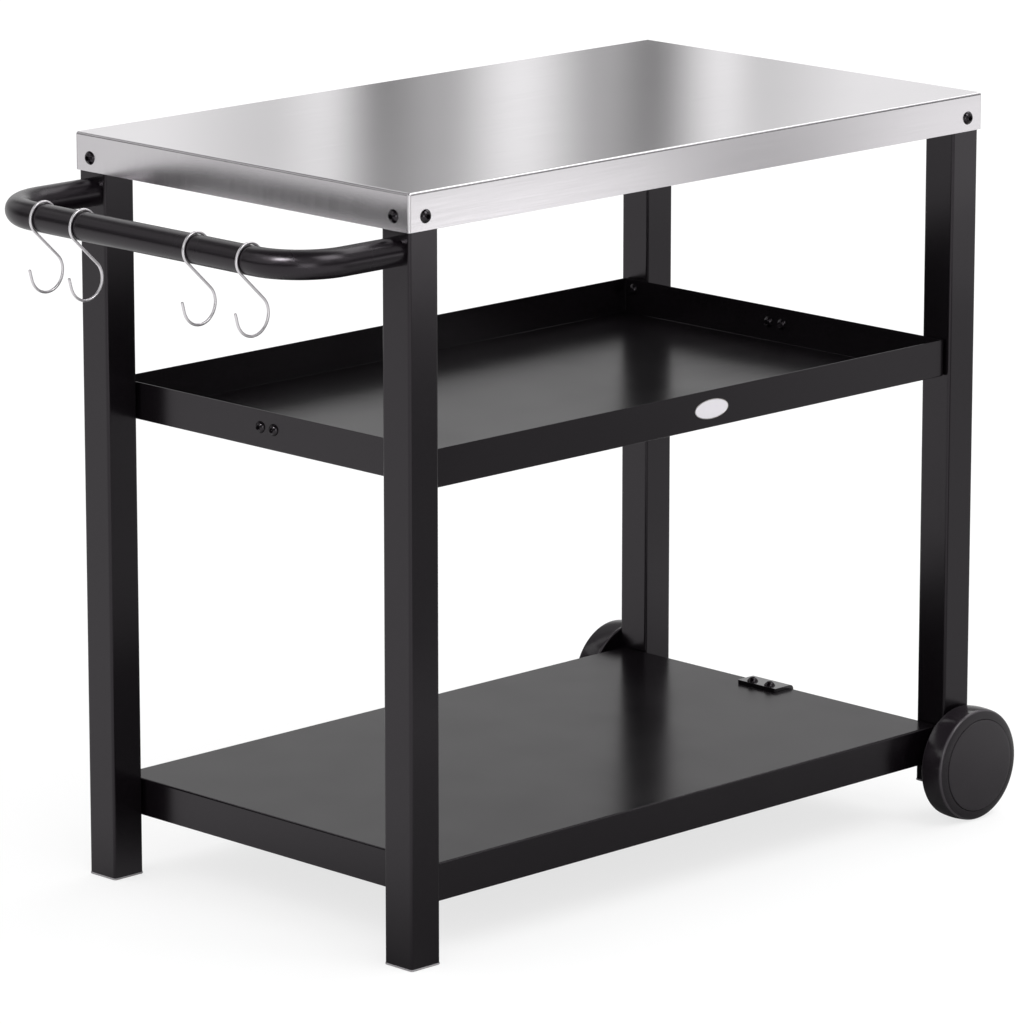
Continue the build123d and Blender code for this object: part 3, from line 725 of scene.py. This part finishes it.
# Stoved enamel: a glossy, faintly uneven white.
cloud = add_node(tree, "ShaderNodeTexNoise", inputs={
    "Vector": place,
    "Scale": 1 / cloud_size,
    "Detail": 3.0,
})
tint = add_node(tree, "ShaderNodeMix", {"data_type": "RGBA"}, {
    0: cloud.outputs["Fac"],
    6: linear("#dedbe0"),
    7: linear("#e6e3e8"),
})
bump = add_node(tree, "ShaderNodeBump", inputs={
    "Height": cloud.outputs["Fac"],
    "Strength": 0.3,
    "Distance": 0.0001,
})
surfaced(tree, {
    "Base Color": tint.outputs[2],
    "Normal": bump.outputs["Normal"],
    "Roughness": 0.22,
})
pressed_edge = 0.00025
lip_width = 0.0005
lip_step = 0.0001
pillow_width = 0.002
pillow_rise = 0.00006
low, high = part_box("label_plate")
shape = bmesh.new()
bmesh.ops.create_circle(shape, cap_ends=True, segments=72, radius=0.5)
bmesh.ops.scale(shape, vec=(high.x - low.x, high.z - low.z, 1.0), verts=shape.verts)
raised = bmesh.ops.extrude_face_region(shape, geom=shape.faces[:])["geom"]
moved(shape, raised, (0, 0, high.y - low.y))
field = [f for f in raised if isinstance(f, bmesh.types.BMFace)]
eased(shape, list(field[0].edges), pressed_edge)
field = [max(shape.faces, key=lambda f: (round(f.calc_center_median().z, 6), f.calc_area()))]
bmesh.ops.inset_region(shape, faces=field, thickness=lip_width, depth=0.0)
bmesh.ops.inset_region(shape, faces=field, thickness=lip_step, depth=-lip_step)
bmesh.ops.inset_region(shape, faces=field, thickness=pillow_width, depth=pillow_rise)
for edge in field[0].edges:
    for face in edge.link_faces:
        face.material_index = 1
on_wall = Matrix.Translation(((low.x + high.x) / 2, high.y, (low.z + high.z) / 2))
bmesh.ops.transform(shape, matrix=on_wall @ Matrix.Rotation(quarter, 4, "X"), verts=shape.verts)
finished("label_plate_oval", shape, [bright_lip, enamel], "cart", ["label_plate"])

# The bottom shelf: the same sheet and coat as the tray, with its four sides folded down, and four
# bolts from inside its end walls into the legs' inserts.
shelf_fold = 0.002
shelf_low, shelf_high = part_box("bottom_shelf")
shelf = folded_pan(shelf_low, shelf_high, shelf_fold, plate_level=shelf_high.z, rim_level=shelf_low.z)
finished("bottom_shelf_pan", shelf, [satin_black], "cart", ["bottom_shelf"], True)
bolts = set_at(corner_bolt, inside_corners(shelf_low, shelf_high, middle_of("shelf_corner_bolts").z))
finished("shelf_corner_bolt_set", bolts, [blackened], "cart", ["shelf_corner_bolts"])

# The bracket on the shelf's wheel-end edge: 4 mm plate bent down over the edge, painted gloss
# black, with rounded inner corners and two bolts through the shelf.
# Gloss paint: a clear wet shine over the black, with hardly any peel.
gloss_black = black_coat(
    "gloss_black_paint", "#040204", "#070507",
    low_rough=0.09, high_rough=0.13, peel_size=0.004, peel_depth=0.000002,
    lacquer={"Coat Weight": 1.0, "Coat Roughness": 0.06},
)
plate = 0.004
plate_edge = 0.0004
bend_radius = 0.0055
corner_radius = 0.002
bolt_inset = 0.008
half_spacing = 0.013
low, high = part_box("shelf_bracket")
flat_end = high.x - bend_radius
bracket_y = (low.y + high.y) / 2
shape = bmesh.new()
bmesh.ops.create_grid(shape, x_segments=1, y_segments=1, size=0.5)
bmesh.ops.scale(shape, vec=(flat_end - low.x, high.y - low.y, 1.0), verts=shape.verts)
bmesh.ops.translate(shape, vec=((low.x + flat_end) / 2, bracket_y, high.z), verts=shape.verts)
bmesh.ops.bevel(
    shape, geom=[v for v in shape.verts if v.co.x < low.x + bend_radius], affect="VERTICES",
    offset=corner_radius, segments=4, profile=0.5, material=-1,
)
line = [max(shape.edges, key=lambda e: e.verts[0].co.x + e.verts[1].co.x)]
line = bent_on(shape, line, (flat_end, 0, high.z - bend_radius), (0, 1, 0), quarter, steps=8)
run_on(shape, line, (0, 0, low.z - high.z + bend_radius))
bmesh.ops.recalc_face_normals(shape, faces=shape.faces)
bmesh.ops.solidify(shape, geom=shape.faces[:], thickness=plate)
eased(shape, sharp_edges(shape), plate_edge)
finished("shelf_bracket_plate", shape, [gloss_black], "cart", ["shelf_bracket"], True)
places = []
for y in (bracket_y - half_spacing, bracket_y + half_spacing):
    places.append(((low.x + bolt_inset, y, high.z), (0, 0, 1)))
bolts = set_at(dome_screw(head=0.013, height=0.0045, thread=0.006, length=0.0122), places)
bolts = finished("bracket_bolt_set", bolts, [blackened], "cart", ["bracket_bolts"])
glinting.objects.link(bolts)

# The handle: 30 mm round tube, 1.5 mm wall, bent to a U on a 60 mm radius and painted semi-gloss
# black; long bolts through the legs draw its plugged ends against them.
# Semi-gloss paint: long, slightly blurred streaks of light along the tube.
semi_gloss = black_coat(
    "semi_gloss_black_paint", "#060306", "#0a060a",
    low_rough=0.25, high_rough=0.29, peel_size=0.005, peel_depth=0.000004,
)
tube_radius = 0.015
tube_wall = 0.0015
bend_radius = 0.060
bend_steps = 28
low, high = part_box("handle")
bar_level = (low.z + high.z) / 2
bend_in = tube_radius + bend_radius
arm = high.x - low.x - bend_in
span = high.y - low.y - 2 * bend_in
shape = bmesh.new()
bmesh.ops.create_circle(shape, cap_ends=False, segments=56, radius=tube_radius)
arm_end = Matrix.Translation((high.x, low.y + tube_radius, bar_level))
bmesh.ops.transform(shape, matrix=arm_end @ Matrix.Rotation(-quarter, 4, "Y"), verts=shape.verts)
line = run_on(shape, shape.edges[:], (-arm, 0, 0))
bend_middle = (low.x + bend_in, low.y + bend_in, bar_level)
line = bent_on(shape, line, bend_middle, (0, 0, -1), quarter, bend_steps)
line = run_on(shape, line, (0, span, 0))
bend_middle = (low.x + bend_in, high.y - bend_in, bar_level)
line = bent_on(shape, line, bend_middle, (0, 0, -1), quarter, bend_steps)
run_on(shape, line, (arm, 0, 0))
bmesh.ops.recalc_face_normals(shape, faces=shape.faces)
bmesh.ops.solidify(shape, geom=shape.faces[:], thickness=tube_wall)
handle = finished("handle_tube", shape, [semi_gloss], "cart", ["handle"])
glinting.objects.link(handle)
places = []
for name in ("leg_handle_front", "leg_handle_back"):
    places.append(((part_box(name)[1].x, middle_of(name).y, bar_level), (1, 0, 0)))
bolts = set_at(dome_screw(head=0.016, height=0.005, thread=0.008, length=0.054), places)
finished("handle_bolt_set", bolts, [blackened], "cart", ["handle_bolts"])

# The hooks: four S-hooks of 3 mm stainless wire, bright drawn and bent round formers, with their
# cut ends tumbled round. Each hangs by its loop on the handle's bar and swings on it.
draw_size = 0.004
bright_wire, tree, place = blank_finish("bright_drawn_wire")
# Drawn wire: a pale, soft shine that comes and goes along the wire, with the marks of the die drawn
# coarse so that they show.
drawn = add_node(tree, "ShaderNodeTexNoise", inputs={
    "Vector": place,
    "Scale": 1 / draw_size,
    "Detail": 3.0,
})
tint = add_node(tree, "ShaderNodeMix", {"data_type": "RGBA"}, {
    0: drawn.outputs["Fac"],
    6: linear("#dcd9dc"),
    7: linear("#e6e3e6"),
})
rough = add_node(tree, "ShaderNodeMapRange", inputs={
    "Value": drawn.outputs["Fac"],
    "From Min": 0.3,
    "From Max": 0.7,
    "To Min": 0.32,
    "To Max": 0.4,
})
surfaced(tree, {
    "Base Color": tint.outputs[2],
    "Roughness": rough.outputs["Result"],
    "Metallic": 1.0,
})
wire_radius = 0.0015
end_round = 0.0011
loop_radius = 0.0169
lower_radius = 0.021
lower_drop = 0.0558
lower_shift = 0.0039
tip_length = 0.011
mouth = math.radians(25)
lean = math.radians(15)
bend_steps = 44
between = math.hypot(lower_shift, lower_drop)
shank = math.atan2(lower_shift, lower_drop) + math.asin((loop_radius + lower_radius) / between)
loop_end = -loop_radius * Vector((math.cos(shank), 0, math.sin(shank)))
lower_middle = Vector((lower_shift, 0, -lower_drop))
lower_start = lower_middle + lower_radius * Vector((math.cos(shank), 0, math.sin(shank)))
tip_run = tip_length * Vector((-math.sin(lean), 0, math.cos(lean)))
bar_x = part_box("handle")[0].x + tube_radius
for name in ("hook_back", "hook_mid_back", "hook_mid_front", "hook_front"):
    shape = bmesh.new()
    bmesh.ops.create_circle(shape, cap_ends=False, segments=18, radius=wire_radius)
    loop_start = Matrix.Rotation(-mouth, 4, "Y") @ Matrix.Translation((loop_radius, 0, 0))
    bmesh.ops.transform(shape, matrix=loop_start, verts=shape.verts)
    line = bent_on(shape, shape.edges[:], (0, 0, 0), (0, -1, 0), math.pi + shank - mouth, bend_steps)
    line = run_on(shape, line, lower_start - loop_end)
    line = bent_on(shape, line, lower_middle, (0, 1, 0), math.pi + shank - lean, bend_steps)
    run_on(shape, line, tip_run)
    bmesh.ops.holes_fill(shape, edges=[e for e in shape.edges if e.is_boundary])
    eased(shape, sharp_edges(shape), end_round, segments=4)
    bmesh.ops.translate(shape, vec=(bar_x, middle_of(name).y, bar_level), verts=shape.verts)
    finished(name + "_wire", shape, [bright_wire], name + "_body", [name])


# The wheels: hollow mouldings of black polypropylene with a crowned tread, six ribs inside, a hub
# and a recess in the outer face, turning on a bolt through the leg.
def moulded_black(name, deep, pale, low_rough, high_rough, ring_pitch=None):
    cloud_size = 0.03
    grain_size = 0.0007
    # The radii between which a paler ring, a painted highlight, is laid round the crease of the outer face.
    highlight_ring_from = 0.0594
    highlight_ring_to = 0.0618
    highlight_ring_fade = 0.0007
    ring_height = 0.6
    axle = middle_of("wheel_front")
    finish, tree, place = blank_finish(name)
    cloud = add_node(tree, "ShaderNodeTexNoise", inputs={
        "Vector": place,
        "Scale": 1 / cloud_size,
        "Detail": 3.0,
    })
    grain = add_node(tree, "ShaderNodeTexNoise", inputs={
        "Vector": place,
        "Scale": 1 / grain_size,
        "Detail": 2.0,
    })
    tint = add_node(tree, "ShaderNodeMix", {"data_type": "RGBA"}, {
        0: cloud.outputs["Fac"],
        6: linear(deep),
        7: linear(pale),
    })
    rough = add_node(tree, "ShaderNodeMapRange", inputs={
        "Value": cloud.outputs["Fac"],
        "From Min": 0.3,
        "From Max": 0.7,
        "To Min": low_rough,
        "To Max": high_rough,
    })
    radius = add_node(tree, "ShaderNodeVectorMath", {"operation": "SUBTRACT"}, {
        0: place,
        1: (axle.x, 0, axle.z),
    })
    radius = add_node(tree, "ShaderNodeVectorMath", {"operation": "MULTIPLY"}, {
        0: radius.outputs[0],
        1: (1, 0, 1),
    })
    radius = add_node(tree, "ShaderNodeVectorMath", {"operation": "LENGTH"}, {0: radius.outputs[0]})
    inside_highlight_ring = add_node(tree, "ShaderNodeMapRange", {"interpolation_type": "SMOOTHSTEP"}, {
        "Value": radius.outputs["Value"],
        "From Min": highlight_ring_to,
        "From Max": highlight_ring_to - highlight_ring_fade,
    })
    painted_highlight_ring = add_node(tree, "ShaderNodeMapRange", {"interpolation_type": "SMOOTHSTEP"}, {
        "Value": radius.outputs["Value"],
        "From Min": highlight_ring_from,
        "From Max": highlight_ring_from + highlight_ring_fade,
        "To Max": inside_highlight_ring.outputs["Result"],
    })
    # The painted highlight's paler colour, laid on that ring.
    tint = add_node(tree, "ShaderNodeMix", {"data_type": "RGBA"}, {
        0: painted_highlight_ring.outputs["Result"],
        6: tint.outputs[2],
        7: linear("#423e42"),
    })
    height = grain.outputs["Fac"]
    if ring_pitch:
        rings = add_node(tree, "ShaderNodeMath", {"operation": "MULTIPLY"}, {
            0: radius.outputs["Value"],
            1: 2 * math.pi / ring_pitch,
        })
        rings = add_node(tree, "ShaderNodeMath", {"operation": "SINE"}, {0: rings.outputs[0]})
        height = add_node(tree, "ShaderNodeMath", {"operation": "MULTIPLY_ADD"}, {
            0: rings.outputs[0],
            1: ring_height,
            2: height,
        }).outputs[0]
    bump = add_node(tree, "ShaderNodeBump", inputs={
        "Height": height,
        "Strength": 1.0,
        "Distance": 0.000004,
    })
    surfaced(tree, {
        "Base Color": tint.outputs[2],
        "Roughness": rough.outputs["Result"],
        "Normal": bump.outputs["Normal"],
    })
    return finish


# Polypropylene from a polished tool: a soft gloss, with a thin paler ring painted round the crease
# of the outer face as a painted highlight.
wheel_black = moulded_black("black_polypropylene", "#1a161a", "#201c20", low_rough=0.16, high_rough=0.21)
tread = 0.0625
crown = 0.0012
crown_steps = 10
inner_side = 0.002
crease = 0.0295
crease_round = 0.0016
outer_face = 0.0327
face_bulge = 0.0006
face_steps = 6
groove = 0.0508
groove_drop = 0.0012
groove_chamfer = 0.0005
cover_seat = 0.0306
pocket = 0.013
hub_seat = 0.0216
bore = 0.00508
hub = 0.016
web = 0.0276
wall = 0.003
rib_count = 6
rib_thickness = 0.0025
rib_start = 0.004
rim = tread - crown
half_tread = (crease - inner_side) / 2
round_out = (half_tread**2 + crown**2) / (2 * crown)
outline = []
for i in range(crown_steps + 1):
    from_middle = half_tread * (2 * i / crown_steps - 1)
    rise = math.sqrt(round_out**2 - from_middle**2)
    outline.append((tread - round_out + rise, inner_side + half_tread + from_middle))
groove_top = outer_face - groove_drop
face_out = Vector((rim, crease))
face_in = Vector((groove + groove_chamfer, groove_top + groove_chamfer))
bulge = Vector((face_in.y - face_out.y, face_out.x - face_in.x)).normalized() * face_bulge
for i in range(1, face_steps + 1):
    part = i / face_steps
    outline.append(tuple(face_out.lerp(face_in, part) + bulge * (4 * part * (1 - part))))
outline += [(groove, groove_top), (groove, cover_seat), (pocket, cover_seat), (pocket, hub_seat)]
outline += [(bore, hub_seat), (bore, 0.0), (hub, 0.0), (hub, web)]
outline += [(rim - wall, web), (rim - wall, inner_side), outline[0]]
shape = bmesh.new()
turned(shape, outline, steps=120)
creases = []
for edge in shape.edges:
    at_rim = all(abs(math.hypot(v.co.x, v.co.y) - rim) < level_with for v in edge.verts)
    at_side = all(min(abs(v.co.z - crease), abs(v.co.z - inner_side)) < level_with for v in edge.verts)
    if at_rim and at_side:
        creases.append(edge)
eased(shape, creases, crease_round, segments=4)
rib_in = hub - wall / 2
rib_out = rim - wall / 2
rib_top = web + wall / 2
for i in range(rib_count):
    made = bmesh.ops.create_cube(shape, size=1.0)["verts"]
    bmesh.ops.scale(shape, vec=(rib_out - rib_in, rib_thickness, rib_top - rib_start), verts=made)
    bmesh.ops.translate(shape, vec=((rib_in + rib_out) / 2, 0, (rib_start + rib_top) / 2), verts=made)
    around = Matrix.Rotation(i * 2 * math.pi / rib_count, 3, "Z")
    bmesh.ops.rotate(shape, cent=(0, 0, 0), matrix=around, verts=made)
wheel_mesh = kept_mesh("wheel_moulding", shape)

# The wheel covers: shallow domed discs of the same plastic that snap into the wheels' recesses and
# hide the axle bolts' heads; faint rings from the turned mould show on them.
# The rings dull the shine, and they are drawn 1.6 mm apart, coarser than a lathe leaves them.
cover_black = moulded_black(
    "turned_black_polypropylene", "#242024", "#2a262a",
    low_rough=0.3, high_rough=0.38, ring_pitch=0.0016,
)
dome_rim = 0.05015
dome = 0.002
dome_top = 0.035
dome_steps = 14
# How far each point of the rounded edge lies beyond the dome's rim, and its height.
cover_edge = [(0.0003, 0.03292), (0.0005, 0.0325), (0.0005, cover_seat)]
spigot_out = 0.01285
spigot_in = 0.01135
spigot_length = 0.003
spigot_end = cover_seat - spigot_length
round_out = (dome_rim**2 + dome**2) / (2 * dome)
outline = []
for i in range(dome_steps + 1):
    radius = dome_rim * i / dome_steps
    outline.append((radius, dome_top - round_out + math.sqrt(round_out**2 - radius**2)))
outline += [(dome_rim + beyond_rim, height) for beyond_rim, height in cover_edge]
outline += [(spigot_out, cover_seat), (spigot_out, spigot_end), (spigot_in, spigot_end)]
outline += [(spigot_in, cover_seat), (0.0, cover_seat)]
shape = bmesh.new()
turned(shape, outline, steps=120)
cover_mesh = kept_mesh("wheel_cover", shape)
for name, outwards in (("front", -1), ("back", 1)):
    wheel = "wheel_" + name
    cover = "wheel_cover_" + name
    body = name + "_wheel"
    low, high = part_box(wheel)
    axle = middle_of(wheel)
    axle.y = high.y if outwards < 0 else low.y
    on_axle = [(axle, (0, outwards, 0))]
    moulding = set_at(wheel_mesh, on_axle)
    disc = set_at(cover_mesh, on_axle)
    finished(wheel + "_moulding", moulding, [wheel_black], body, [wheel])
    finished(cover + "_disc", disc, [cover_black], body, [cover])

# The plated hardware, mostly out of sight: inserts set in the tubes, nuts, plugs welded in the
# handle's ends, and the axle bolts with their spacers, washers and nuts, all of zinc-plated steel.
cloud_size = 0.006
zinc, tree, place = blank_finish("bright_zinc_plate")
# Zinc plate: a bright, faintly green grey with the slight cloudiness of the bath.
cloud = add_node(tree, "ShaderNodeTexNoise", inputs={
    "Vector": place,
    "Scale": 1 / cloud_size,
    "Detail": 3.0,
})
tint = add_node(tree, "ShaderNodeMix", {"data_type": "RGBA"}, {
    0: cloud.outputs["Fac"],
    6: linear("#b4b5b3"),
    7: linear("#c9cac6"),
})
rough = add_node(tree, "ShaderNodeMapRange", inputs={
    "Value": cloud.outputs["Fac"],
    "To Min": 0.24,
    "To Max": 0.42,
})
surfaced(tree, {
    "Base Color": tint.outputs[2],
    "Roughness": rough.outputs["Result"],
    "Metallic": 1.0,
})
recoated((
    "tabletop_inserts", "tray_corner_inserts", "shelf_corner_inserts", "tray_end_nuts", "bracket_nuts",
    "handle_plugs", "axle_bolt_front", "axle_bolt_back", "axle_spacers", "axle_washers", "axle_nuts",
), zinc)

low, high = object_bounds()
